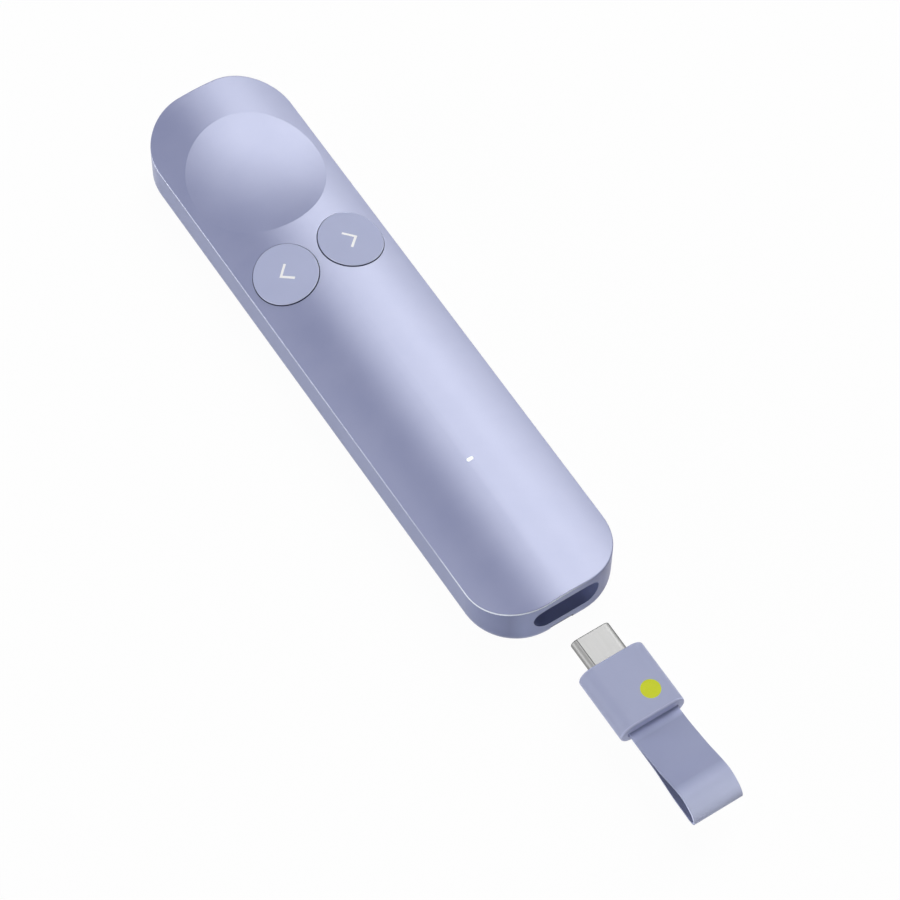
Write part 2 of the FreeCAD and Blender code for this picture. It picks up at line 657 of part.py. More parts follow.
def upper_shell():
    """The domed cover with the dish, the key holes and the screw bosses."""
    body = new_body("upper_shell")
    outer = new_sketch(body, "XY", "outer")
    plan(outer)
    pad(body, outer, "above")
    skin = new_sketch(body, "XZ", "skin")
    under_arc(skin, "skin_radius", "skin_edge")
    pocket(body, skin, FULL_LENGTH, both_ways=True)
    inner = new_sketch(body, "XY", "inner")
    plan(inner, "lip_wall + cover_fit")
    pad(body, inner, "above")
    under = new_sketch(body, "XZ", "under")
    under_arc(under, "under_radius", "under_edge")
    pocket(body, under, FULL_LENGTH, both_ways=True)
    boss = new_sketch(body, "XY", "dish_boss", z="dish_under")
    circle(boss, "dish_radius - dish_boss_inset", "0", "dish_place")
    pad(body, boss, "above - dish_under")
    bosses = new_sketch(body, "XY", "bosses", z="case_split")
    for x, y in CASE_SCREWS:
        circle(bosses, "case_boss_radius", x, y)
    pad(body, bosses, "above - case_split")
    rib = new_sketch(body, "XY", "rib", z="sleeve_head + rib_fit")
    rectangle(rib, "-rib_half_width", "rib_half_width", "sleeve_end - 3 * rib_depth", "sleeve_end - 2 * rib_depth")
    pad(body, rib, "above - sleeve_head")
    dome = new_sketch(body, "XZ", "dome")
    over_arc(dome, "dome_radius", "dome_edge")
    pocket(body, dome, FULL_LENGTH, both_ways=True)
    round_edges(body, "rim", "rim_fillet", on_rim)
    dish(body)
    for name, side in SIDES:
        hole = new_sketch(body, "XY", name + "_hole", f"{side} * key_spread", "key_place", "key_height",
                          f"{side} * key_tilt")
        circle(hole, "key_hole_radius")
        pocket(body, hole, "2 * overrun", both_ways=True)
    window = new_sketch(body, "XY", "window", z="crest_height")
    stadium(window, "pipe_width + 2 * pipe_fit", "pipe_depth + 2 * pipe_fit", "0", "led_place")
    pocket(body, window, "2 * overrun", both_ways=True)
    bores = new_sketch(body, "XY", "bores", z="case_split")
    for x, y in CASE_SCREWS:
        circle(bores, "screw_radius + thread_fit", x, y)
    pocket(body, bores, "screw_tip + bore_spare - case_split", backwards=True)
    return keep(body)


def on_rim(edge):
    """Edges of the domed face along the casing's outer wall."""
    near = number("rim_skin") / 2
    axis, radius = number("dome_axis"), number("dome_radius")
    for place in (edge.valueAt(edge.FirstParameter), edge.valueAt(edge.LastParameter),
                  edge.valueAt((edge.FirstParameter + edge.LastParameter) / 2)):
        off_dome = abs(math.hypot(place.x, place.z - axis) - radius)
        if off_dome > near or outside_gap(place) > near:
            return False
    return True


def outside_gap(place):
    """How far a point lies from the plan outline."""
    corner = number("corner_radius")
    x = abs(place.x) - (number("half_width") - corner)
    y = abs(place.y) - (number("half_length") - corner)
    if x > 0 and y > 0:
        return abs(math.hypot(x, y) - corner)
    return min(abs(x - corner), abs(y - corner))


def dish(body):
    """The dish is an arc swept across the dome, which leaves a round outline."""
    profile = new_sketch(body, "YZ", "dish", x="dish_place", y="dish_axis")
    side = "dish_radius + overrun"
    low = "dish_cross_radius + dish_long_radius - sqrt(dish_long_radius ^ 2 - (dish_radius + overrun) ^ 2)"
    high = "dish_cross_radius + dish_depth + 2 * overrun"
    outline(profile, [(f"-({side})", low), (side, low), (side, high), (f"-({side})", high)],
            {0: ("dish_long_radius", -1)})
    groove = body.newObject("PartDesign::Groove", "dish_groove")
    groove.Profile = profile
    groove.ReferenceAxis = (profile, ["H_Axis"])
    bind(groove, "Angle", "2 * asin((dish_radius + overrun) / dish_cross_radius)")
    groove.Midplane = True
    before = body.Shape.Volume
    body.Tip = groove
    doc.recompute()
    if groove.Shape.Volume >= before:
        raise RuntimeError("the dish cuts nothing")


def lower_shell():
    """The tub: floor, walls, receiver bay, pry notch and posts."""
    body = new_body("lower_shell")
    inner = new_sketch(body, "XY", "inner")
    plan(inner, "lip_wall")
    pad(body, inner, "above")
    under = new_sketch(body, "XZ", "under")
    over_arc(under, "under_radius", "under_edge")
    pocket(body, under, FULL_LENGTH, both_ways=True)
    lip = new_sketch(body, "XY", "lip")
    plan(lip)
    plan(lip, "lip_wall")
    pad(body, lip, "above")
    wall_top = new_sketch(body, "XZ", "wall_top")
    over_arc(wall_top, "wall_top_radius", "wall_top_edge")
    pocket(body, wall_top, FULL_LENGTH, both_ways=True)
    round_edges(body, "foot", "base_fillet", lambda edge: edge.BoundBox.ZMax < number("base_fillet") / 2)
    hollow = new_sketch(body, "XY", "hollow", z="floor_wall")
    plan(hollow, "side_wall", "dock_wall", "dock_corner")
    pocket(body, hollow, "above", backwards=True)
    bay = new_sketch(body, "XZ", "bay", y="dock_axis", z="half_length")
    stadium(bay, "bay_width", "bay_thick")
    pocket(body, bay, "2 * (dock_wall + dock_clear)", both_ways=True)
    notch = new_sketch(body, "XZ", "notch", z="half_length")
    rectangle(notch, "-notch_aside - notch_width / 2", "-notch_aside + notch_width / 2", "notch_foot",
              "notch_foot + notch_height")
    pocket(body, notch, "2 * notch_depth", both_ways=True)
    recess = new_sketch(body, "XY", "recess")
    rounded(recess, "-pad_width / 2 - pad_fit", "pad_width / 2 + pad_fit", "-pad_length / 2 - pad_fit",
            "pad_length / 2 + pad_fit", "pad_corner + pad_fit")
    pocket(body, recess, "pad_thick", backwards=True)
    posts(body, "case_posts", CASE_SCREWS, "case_post_radius", "case_split")
    posts(body, "main_posts", MAIN_SCREWS, "board_post_radius", "board_under")
    posts(body, "key_posts", KEY_SCREWS, "board_post_radius", "key_board_under")
    cradle = new_sketch(body, "XY", "cradle", z="floor_wall")
    rectangle(cradle, "-rib_half_width", "rib_half_width", "sleeve_start + rib_depth", "sleeve_end - rib_depth")
    pad(body, cradle, "sleeve_foot - floor_wall")
    seats = new_sketch(body, "XY", "seats", z="pad_thick")
    for x, y in CASE_SCREWS:
        circle(seats, "screw_head_radius + screw_clear", x, y)
    pocket(body, seats, "screw_seat - pad_thick", backwards=True)
    holes = new_sketch(body, "XY", "holes", z="screw_seat")
    for x, y in CASE_SCREWS:
        circle(holes, "screw_radius + screw_clear", x, y)
    pocket(body, holes, "case_split", backwards=True)
    for name, places, top in (("main", MAIN_SCREWS, "board_under"), ("key", KEY_SCREWS, "key_board_under")):
        pilots = new_sketch(body, "XY", name + "_pilots", z=top)
        for x, y in places:
            circle(pilots, "board_screw_radius + thread_fit", x, y)
        pocket(body, pilots, "board_screw_length - board_thick + bore_spare")
    return keep(body)


def posts(body, name, places, radius, top):
    sketch = new_sketch(body, "XY", name, z="floor_wall")
    for x, y in places:
        circle(sketch, radius, x, y)
    pad(body, sketch, f"{top} - floor_wall")


def base_pad():
    """The soft pad that the clicker lies on. It hides the case screws."""
    body = new_body("base_pad")
    blank = new_sketch(body, "XY", "blank")
    rounded(blank, "-pad_width / 2", "pad_width / 2", "-pad_length / 2", "pad_length / 2", "pad_corner")
    pad(body, blank, "pad_thick")
    return keep(body)


def case_screws():
    screws = []
    for i, (x, y) in enumerate(CASE_SCREWS):
        name = f"case_screw_{i + 1}"
        head = solid_cylinder(name + "_head", "screw_head_radius", x, y, "screw_seat - screw_head_thick", "screw_seat")
        drive = solid_cylinder(name + "_drive", "drive_radius", x, y, "screw_seat - screw_head_thick",
                               "screw_seat - screw_head_thick + drive_deep")
        shank = solid_cylinder(name + "_shank", "screw_radius", x, y, "screw_seat - drive_deep / 2", "screw_tip")
        screws.append(fuse(name, cut(name + "_driven", head, drive), shank))
    return keep(group("case_screws", screws))


def board_screws():
    screws = []
    for i, (x, y) in enumerate(MAIN_SCREWS + KEY_SCREWS):
        top = "board_top" if i < len(MAIN_SCREWS) else "key_board_top"
        name = f"board_screw_{i + 1}"
        head = solid_cylinder(name + "_head", "board_head_radius", x, y, top, f"{top} + board_head_thick")
        shank = solid_cylinder(name + "_shank", "board_screw_radius", x, y, f"{top} - board_screw_length",
                               f"{top} + board_head_thick / 2")
        screws.append(fuse(name, head, shank))
    return keep(group("board_screws", screws))


def dock_sleeve():
    """The liner of the receiver bay, with a mouth for the charging socket."""
    body = new_body("dock_sleeve")
    outer = new_sketch(body, "XZ", "outer", y="dock_axis", z="-sleeve_end")
    stadium(outer, "bay_width + 2 * sleeve_wall", "bay_thick + 2 * sleeve_wall")
    pad(body, outer, "sleeve_end - sleeve_start")
    inner = new_sketch(body, "XZ", "inner", y="dock_axis", z="-bay_end")
    stadium(inner, "bay_width", "bay_thick")
    pocket(body, inner, "dock_wall + receiver_length", backwards=True)
    mouth = new_sketch(body, "XZ", "mouth", y="dock_axis", z="-sleeve_end")
    stadium(mouth, "socket_width + 2 * socket_clear", "socket_thick + 2 * socket_clear")
    pocket(body, mouth, "2 * sleeve_back + overrun", both_ways=True)
    return keep(body)


def charge_socket():
    """The socket's metal shell and the moulded tongue in it."""
    shell = new_body("socket_shell")
    outer = new_sketch(shell, "XZ", "outer", y="dock_axis", z="-socket_back")
    stadium(outer, "socket_width", "socket_thick")
    pad(shell, outer, "socket_length")
    inner = new_sketch(shell, "XZ", "inner", y="dock_axis", z="-socket_back + socket_wall")
    stadium(inner, "socket_width - 2 * socket_wall", "socket_thick - 2 * socket_wall")
    pocket(shell, inner, "socket_length", backwards=True)
    keep(shell)
    tongue = new_body("socket_tongue")
    base = new_sketch(tongue, "XZ", "base", y="dock_axis", z="-socket_back + socket_wall")
    stadium(base, "socket_width - 2 * socket_wall", "socket_thick - 2 * socket_wall")
    pad(tongue, base, "tongue_base")
    blade = new_sketch(tongue, "XZ", "blade", y="dock_axis", z="-socket_back + socket_wall + tongue_base")
    rectangle(blade, "-tongue_width / 2", "tongue_width / 2", "-tongue_thick / 2", "tongue_thick / 2")
    pad(tongue, blade, "tongue_length")
    keep(tongue)


def main_board():
    body = new_body("main_board", z="board_under")
    blank = new_sketch(body, "XY", "blank")
    outline(blank, [
        ("-neck_half_width", "board_start"), ("neck_half_width", "board_start"),
        ("neck_half_width", "board_wide_start"), ("board_half_width", "board_wide_start"),
        ("board_half_width", "board_end"), ("-board_half_width", "board_end"),
        ("-board_half_width", "board_wide_start"), ("-neck_half_width", "board_wide_start")])
    pad(body, blank, "board_thick")
    screw_holes(body, MAIN_SCREWS)
    keep(body)
    keep(solid_box("status_led", "-led_width / 2", "led_width / 2", "led_place - led_depth / 2",
                   "led_place + led_depth / 2", "board_top", "led_top"))
    outer = solid_box("shield_outer", "shield_x - shield_width / 2", "shield_x + shield_width / 2",
                      "shield_y - shield_length / 2", "shield_y + shield_length / 2",
                      "board_top", "board_top + shield_thick")
    inner = solid_box("shield_inner", "shield_x - shield_width / 2 + shield_wall",
                      "shield_x + shield_width / 2 - shield_wall",
                      "shield_y - shield_length / 2 + shield_wall",
                      "shield_y + shield_length / 2 - shield_wall",
                      "board_top - overrun", "board_top + shield_thick - shield_wall")
    keep(cut("shield_can", outer, inner))
    chip("radio_chip", "shield_x", "shield_y", "radio_chip_width", "radio_chip_width", "radio_chip_thick")
    chip("charger_chip", "charger_chip_x", "charger_chip_y", "charger_chip_width", "charger_chip_width",
         "charger_chip_thick")
    chip("antenna", "antenna_x", "antenna_y", "antenna_width", "antenna_depth", "antenna_thick")
    chip("battery_connector", "connector_x", "connector_y", "connector_width", "connector_length",
         "connector_thick")


def chip(name, x, y, width, length, thick):
    keep(solid_box(name, f"{x} - {width} / 2", f"{x} + {width} / 2", f"{y} - {length} / 2",
                   f"{y} + {length} / 2", "board_top", f"board_top + {thick}"))


def screw_holes(body, places):
    holes = new_sketch(body, "XY", "holes")
    for x, y in places:
        circle(holes, "board_screw_radius + screw_clear", x, y)
    pocket(body, holes, "board_thick + overrun", backwards=True)


def light_pipe():
    """The clear pill between the status light and the cover."""
    body = new_body("light_pipe", z="led_top + pipe_gap")
    section = new_sketch(body, "XY", "section")
    stadium(section, "pipe_width", "pipe_depth", "0", "led_place")
    pad(body, section, "crest_height + pipe_proud - led_top - pipe_gap")
    return keep(body)


def battery():
    cell = solid_box("battery_block", "-battery_width / 2", "battery_width / 2", "battery_near", "battery_far",
                     "battery_foot", "battery_head")
    along = lambda edge: edge.BoundBox.YLength > number("battery_length") / 2
    keep(softened("battery_cell", cell, "battery_round", along))
    keep(solid_box("battery_pad", "-battery_width / 2 + battery_pad_inset", "battery_width / 2 - battery_pad_inset",
                   "battery_near + battery_pad_inset", "battery_far - battery_pad_inset",
                   "floor_wall", "battery_foot"))
    wires = [solid_cylinder(f"battery_wire_{name}", "wire_radius", f"connector_x {sign} wire_pitch / 2",
                            "board_top + connector_thick / 2", "connector_end", "battery_near",
                            Vector(0, 1, 0))
             for name, sign in (("black", "-"), ("red", "+"))]
    keep(group("battery_wires", wires))


def key_board():
    body = new_body("key_board", z="key_board_under")
    blank = new_sketch(body, "XY", "blank")
    rounded(blank, "-key_board_half_width", "key_board_half_width", "key_board_near", "key_board_far",
            "board_corner")
    pad(body, blank, "board_thick")
    screw_holes(body, KEY_SCREWS)
    keep(body)
    for name, side in SIDES:
        block = solid_box(name + "_switch_block", f"{side} * switch_x - switch_width / 2",
                          f"{side} * switch_x + switch_width / 2", "key_place - switch_width / 2",
                          "key_place + switch_width / 2", "key_board_top", "key_board_top + switch_thick")
        bore = solid_cylinder(name + "_switch_bore", "button_radius + button_gap", f"{side} * switch_x",
                              "key_place", "key_board_top - overrun", "key_board_top + overrun")
        keep(cut(name + "_switch", block, bore))
        keep(solid_cylinder(name + "_switch_button", "button_radius", f"{side} * switch_x", "key_place",
                            "key_board_top + button_stroke_gap", "button_top"))


def arrow(sketch, side, spare="0"):
    """The arrow on a key: two strokes that meet in a point, away from the body's middle."""
    tip = f"({side}) * (mark_shift + mark_reach)"
    inner_tip = f"({side}) * (mark_shift + mark_reach - mark_stroke * sqrt(2))"
    back = f"({side}) * (mark_shift - mark_reach)"
    inner_back = f"({side}) * (mark_shift - mark_reach - mark_stroke / sqrt(2))"
    outline(sketch, [
        (tip, "0"), (back, "mark_span"), (inner_back, "mark_span - mark_stroke / sqrt(2)"),
        (inner_tip, "0"), (inner_back, "mark_stroke / sqrt(2) - mark_span"), (back, "-mark_span")])


def keys():
    for name, side in SIDES:
        key_cap(name, side)


def trim_face(body):
    """Cuts a key's top to the dome, which lies square under the key."""
    face = new_sketch(body, "XZ", "face")
    outline(face, [("-key_side", "key_face_edge"), ("key_side", "key_face_edge"),
                   ("key_side", "2 * overrun"), ("-key_side", "2 * overrun")], {0: ("key_face_radius", 1)})
    pocket(body, face, "2 * key_side", both_ways=True)


def key_cap(name, side):
    """A round cap with a skirt, two retaining tabs and a stem, square to the dome where it stands."""
    place = {"x": f"{side} * key_spread", "y": "key_place", "z": "key_height", "tilt": f"{side} * key_tilt"}
    body = new_body(name + "_key", **place)
    cap = new_sketch(body, "XY", "cap", z="key_foot")
    circle(cap, "key_radius")
    pad(body, cap, "overrun - key_foot")
    trim_face(body)
    round_edges(body, "edge", "key_round", lambda edge: edge.BoundBox.ZMin > number("key_foot") / 2)
    inside = new_sketch(body, "XY", "inside", z="key_foot")
    circle(inside, "key_radius - key_skirt_wall")
    pocket(body, inside, "key_proud - key_skin - key_foot", backwards=True)
    tabs = new_sketch(body, "XY", "tabs", z="key_foot")
    for sign in ("-", ""):
        edges = sorted([f"{sign}(key_radius - key_skirt_wall / 2)", f"{sign}(key_radius + tab_reach)"],
                       key=number)
        rectangle(tabs, "-tab_width / 2", "tab_width / 2", *edges)
    pad(body, tabs, "tab_thick")
    stem = new_sketch(body, "XY", "stem", z="stem_foot")
    circle(stem, "stem_radius")
    pad(body, stem, "key_proud - key_skin - stem_foot")
    groove = new_sketch(body, "XY", "mark", z="key_proud")
    arrow(groove, side)
    pocket(body, groove, "mark_deep")
    keep(body)
    mark = new_body(name + "_arrow", **place)
    stroke = new_sketch(mark, "XY", "stroke", z="key_proud - mark_deep")
    arrow(stroke, side)
    pad(mark, stroke, "mark_deep + overrun")
    trim_face(mark)
    keep(mark)


def dish_sensor():
    keep(solid_cylinder("force_sensor", "sensor_radius", "0", "dish_place", "sensor_foot", "dish_under"))
    near, far = "dish_place - bridge_depth / 2", "dish_place + bridge_depth / 2"
    plate = solid_box("bridge_plate", "-bridge_half_width", "bridge_half_width", near, far, "bridge_under",
                      "sensor_foot")
    legs = [solid_box("bridge_leg_left", "-bridge_half_width", "-bridge_half_width + bridge_thick", near, far,
                      "floor_wall", "bridge_under + bridge_thick / 2"),
            solid_box("bridge_leg_right", "bridge_half_width - bridge_thick", "bridge_half_width", near, far,
                      "floor_wall", "bridge_under + bridge_thick / 2")]
    keep(fuse("sensor_bridge", plate, *legs))
    keep(solid_cylinder("haptic_actuator", "haptic_radius", "0", "haptic_place", "floor_wall + haptic_foam",
                        "floor_wall + haptic_foam + haptic_thick"))
    ring = solid_cylinder("haptic_ring_disc", "haptic_radius", "0", "haptic_place", "floor_wall",
                          "floor_wall + haptic_foam")
    hole = solid_cylinder("haptic_ring_hole", "haptic_radius / 2", "0", "haptic_place", "floor_wall - overrun",
                          "floor_wall + overrun")
    keep(cut("haptic_ring", ring, hole))


def flat_cable(name, points):
    """A flat cable whose upper side runs through the points, seen from +X."""
    body = new_body(name)
    strip = new_sketch(body, "YZ", "strip")
    lower = [(y, f"{z} - flex_thick") for y, z in points]
    outline(strip, lower + points[::-1])
    pad(body, strip, "flex_width", both_ways=True)
    return keep(body)


def flat_cables():
    top = "flex_thick"
    flat_cable("board_cable", [
        ("board_end - flex_landing", f"board_top + {top}"), ("board_end - flex_slack", f"board_top + {top}"),
        ("battery_near - flex_slack", f"battery_head + {top}"), ("battery_far", f"battery_head + {top}"),
        ("key_board_near", f"key_board_top + {top}"), ("key_board_near + flex_landing", f"key_board_top + {top}")])
    flat_cable("sensor_cable", [
        ("key_board_far - flex_landing", f"key_board_top + {top}"), ("key_board_far", f"key_board_top + {top}"),
        ("dish_place - bridge_depth / 2 - 2 * flex_slack", "sensor_foot + sensor_thick / 2 + flex_thick"),
        ("dish_place - sensor_radius", "sensor_foot + sensor_thick / 2 + flex_thick")])


def receiver_housing():
    """The receiver's shell with full round sides, open at the front, with a slot for the strap."""
    body = new_body("receiver_housing", y="receiver_rear", z="dock_axis")
    outer = new_sketch(body, "XZ", "outer")
    stadium(outer, "receiver_width", "receiver_thick")
    pad(body, outer, "receiver_length", backwards=True)
    round_edges(body, "edges", "receiver_round", lambda edge: edge.BoundBox.YLength < LEVEL)
    inner = new_sketch(body, "XZ", "inner", z="-receiver_rear_wall")
    stadium(inner, "stick_inner_width", "stick_inner_thick")
    pocket(body, inner, "receiver_length")
    slot = new_sketch(body, "XZ", "slot")
    rectangle(slot, "-strap_width / 2 - strap_slot_clear", "strap_width / 2 + strap_slot_clear",
              "-strap_thick - strap_slot_clear", "strap_thick + strap_slot_clear")
    pocket(body, slot, "2 * (receiver_rear_wall + strap_slot_clear)", both_ways=True)
    sockets = new_sketch(body, "YZ", "pin_sockets")
    circle(sockets, "pin_radius + nose_fit", "pin_inset")
    pocket(body, sockets, "pin_length + 2 * nose_fit", both_ways=True)
    place = new_sketch(body, "XY", "mark_place", z="receiver_thick / 2")
    circle(place, "receiver_mark_radius", "receiver_mark_x", "receiver_mark_y")
    pocket(body, place, "receiver_mark_deep")
    return keep(body)


def receiver_front():
    """The front plate, the plug's shell and insert, and the contact tails."""
    nose = new_body("receiver_nose", y="receiver_front", z="dock_axis")
    plate = new_sketch(nose, "XZ", "plate")
    stadium(plate, "stick_inner_width - 2 * nose_fit", "stick_inner_thick - 2 * nose_fit")
    stadium(plate, "plug_width + 2 * nose_fit", "plug_thick + 2 * nose_fit")
    pad(nose, plate, "nose_thick")
    keep(nose)
    shell = new_body("plug_shell", y="plug_back", z="dock_axis")
    tube = new_sketch(shell, "XZ", "tube")
    stadium(tube, "plug_width", "plug_thick")
    stadium(tube, "plug_inner_width", "plug_inner_thick")
    pad(shell, tube, "plug_length + plug_root", backwards=True)
    tip = number("plug_length + plug_root")
    half = number("plug_thick / 2 - plug_wall / 2")
    round_edges(shell, "tip", "plug_tip_round",
                lambda edge: edge.BoundBox.YLength < LEVEL and edge.BoundBox.YMin > tip / 2
                and (edge.BoundBox.ZLength > 2 * half or abs(edge.BoundBox.ZMax) > half))
    keep(shell)
    insert = new_body("plug_insert", y="plug_back", z="dock_axis")
    core = new_sketch(insert, "XZ", "core")
    stadium(core, "plug_inner_width", "plug_inner_thick")
    pad(insert, core, "plug_length + plug_root - plug_tip_round", backwards=True)
    slot = new_sketch(insert, "XZ", "slot", z="-(plug_length + plug_root - slot_depth)")
    rectangle(slot, "-slot_width / 2", "slot_width / 2", "-slot_thick / 2", "slot_thick / 2")
    pocket(insert, slot, "slot_depth + overrun")
    keep(insert)
    tails = []
    for i in range(CONTACTS):
        middle = f"({i} - {(CONTACTS - 1) / 2}) * contact_pitch"
        tails.append(solid_box(f"contact_{i + 1}", f"{middle} - contact_width / 2", f"{middle} + contact_width / 2",
                               "stick_board_front - contact_length", "plug_back", "stick_board_head",
                               "stick_board_head + contact_thick"))
    keep(group("plug_contacts", tails))


def receiver_inside():
    keep(solid_box("receiver_board", "-stick_board_width / 2", "stick_board_width / 2",
                   "stick_board_front - stick_board_length", "stick_board_front", "stick_board_foot",
                   "stick_board_head"))
    keep(solid_box("receiver_chip", "-stick_chip_width / 2", "stick_chip_width / 2",
                   "stick_board_front - stick_board_length / 2 - stick_chip_width / 2",
                   "stick_board_front - stick_board_length / 2 + stick_chip_width / 2",
                   "stick_board_foot - stick_chip_thick", "stick_board_foot"))
    mark = new_body("receiver_mark", y="receiver_rear", z="dock_axis")
    disc = new_sketch(mark, "XY", "disc", z="receiver_thick / 2 - receiver_mark_deep")
    circle(disc, "receiver_mark_radius", "receiver_mark_x", "receiver_mark_y")
    pad(mark, disc, "receiver_mark_deep")
    keep(mark)
    keep(solid_cylinder("strap_pin", "pin_radius", "pin_place", "dock_axis", "-pin_length / 2", "pin_length / 2",
                        Vector(1, 0, 0)))


def tear(sketch, root_y, root_half, radius):
    """A drop shape, seen from +X: straight sides from its root to a round end, tangent to both."""
    centre_y = "strap_end - receiver_rear + strap_round"
    root = number(root_y)
    half = number(root_half)
    middle = Vector(number(centre_y), number("strap_rise"), 0)
    size = number(radius)
    ends = []
    for sign in (1, -1):
        start = Vector(root, sign * half, 0)
        reach = middle - start
        turn = math.asin(size / reach.Length)
        along = Vector(reach).normalize()
        run = math.sqrt(reach.Length ** 2 - size ** 2)
        swing = -turn if sign > 0 else turn
        tangent = Vector(along.x * math.cos(swing) - along.y * math.sin(swing),
                         along.x * math.sin(swing) + along.y * math.cos(swing), 0)
        ends.append(start + tangent * run)
    angles = [math.atan2(p.y - middle.y, p.x - middle.x) for p in ends]
    arc = sketch.addGeometry(Part.ArcOfCircle(Part.Circle(middle, Vector(0, 0, 1), size),
                                              angles[0], angles[1] + 2 * math.pi))
    upper = sketch.addGeometry(Part.LineSegment(Vector(root, half, 0), ends[0]))
    lower = sketch.addGeometry(Part.LineSegment(ends[1], Vector(root, -half, 0)))
    sketch.addConstraint(Sketcher.Constraint("Tangent", upper, 2, arc, 1))
    sketch.addConstraint(Sketcher.Constraint("Tangent", lower, 1, arc, 2))
    hold_point(sketch, arc, 3, centre_y, "strap_rise")
    hold_radius(sketch, arc, radius)
    hold_point(sketch, upper, 1, root_y, root_half)
    if half:
        back = sketch.addGeometry(Part.LineSegment(Vector(root, -half, 0), Vector(root, half, 0)))
        sketch.addConstraint(Sketcher.Constraint("Coincident", lower, 2, back, 1))
        sketch.addConstraint(Sketcher.Constraint("Coincident", back, 2, upper, 1))
        hold_point(sketch, lower, 2, root_y, f"-({root_half})")
    else:
        sketch.addConstraint(Sketcher.Constraint("Coincident", lower, 2, upper, 1))


def strap_loop():
    """The flat strap: an eye round the pin, two layers through the slot, and a loop that opens behind."""
    body = new_body("strap_loop", y="receiver_rear", z="dock_axis")
    outer = new_sketch(body, "YZ", "outer")
    tear(outer, "pin_inset", "strap_thick", "strap_round")
    pad(body, outer, "strap_width", both_ways=True)
    eye = new_sketch(body, "YZ", "eye")
    circle(eye, "eye_radius", "pin_inset")
    pad(body, eye, "strap_width", both_ways=True)
    inner = new_sketch(body, "YZ", "inner")
    tear(inner, "-strap_root", "0", "strap_round - strap_thick")
    pocket(body, inner, "strap_width + overrun", both_ways=True)
    bore = new_sketch(body, "YZ", "bore")
    circle(bore, "pin_radius + nose_fit", "pin_inset")
    pocket(body, bore, "strap_width + overrun", both_ways=True)
    return keep(body)


def check_and_write():
    doc.recompute()
    for item in doc.Objects:
        if "Invalid" in item.State or "Error" in item.State:
            raise RuntimeError(f"{item.Name} is {item.State}")
    for item in KEPT:
        if item.Shape.isNull() or not item.Shape.isValid():
            raise RuntimeError(f"{item.Label} has no valid shape")
    os.makedirs("parts", exist_ok=True)
    for item in KEPT:
        item.Shape.exportStep(os.path.join("parts", item.Label + ".step"))
        print(f"{item.Label}: {len(item.Shape.Solids)} solids, {item.Shape.Volume:.2f} mm3")


upper_shell()
lower_shell()
base_pad()
case_screws()
board_screws()
dock_sleeve()
charge_socket()
main_board()
light_pipe()
battery()
key_board()
keys()
dish_sensor()
flat_cables()
receiver_housing()
receiver_front()
receiver_inside()
strap_loop()
check_and_write()
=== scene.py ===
import math
import bpy
from mathutils import Matrix, Vector


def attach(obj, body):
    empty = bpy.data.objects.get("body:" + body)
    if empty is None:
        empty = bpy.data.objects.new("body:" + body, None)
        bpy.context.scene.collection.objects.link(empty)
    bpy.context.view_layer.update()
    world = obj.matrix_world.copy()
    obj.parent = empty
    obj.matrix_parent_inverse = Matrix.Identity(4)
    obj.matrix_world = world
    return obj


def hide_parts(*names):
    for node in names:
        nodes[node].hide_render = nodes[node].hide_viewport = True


# A wireless presentation clicker: lavender casing with a thumb dish and two keys,
# and its plug-in receiver on a strap, drawn out of the bay. Metres, +Z up.

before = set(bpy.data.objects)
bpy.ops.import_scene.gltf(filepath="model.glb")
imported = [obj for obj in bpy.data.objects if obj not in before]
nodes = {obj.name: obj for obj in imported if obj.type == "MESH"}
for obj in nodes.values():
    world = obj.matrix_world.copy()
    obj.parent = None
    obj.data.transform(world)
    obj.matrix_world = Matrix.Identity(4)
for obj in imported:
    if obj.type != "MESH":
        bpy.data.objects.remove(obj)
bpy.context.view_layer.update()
mm = 0.001


# Nodes of the materials

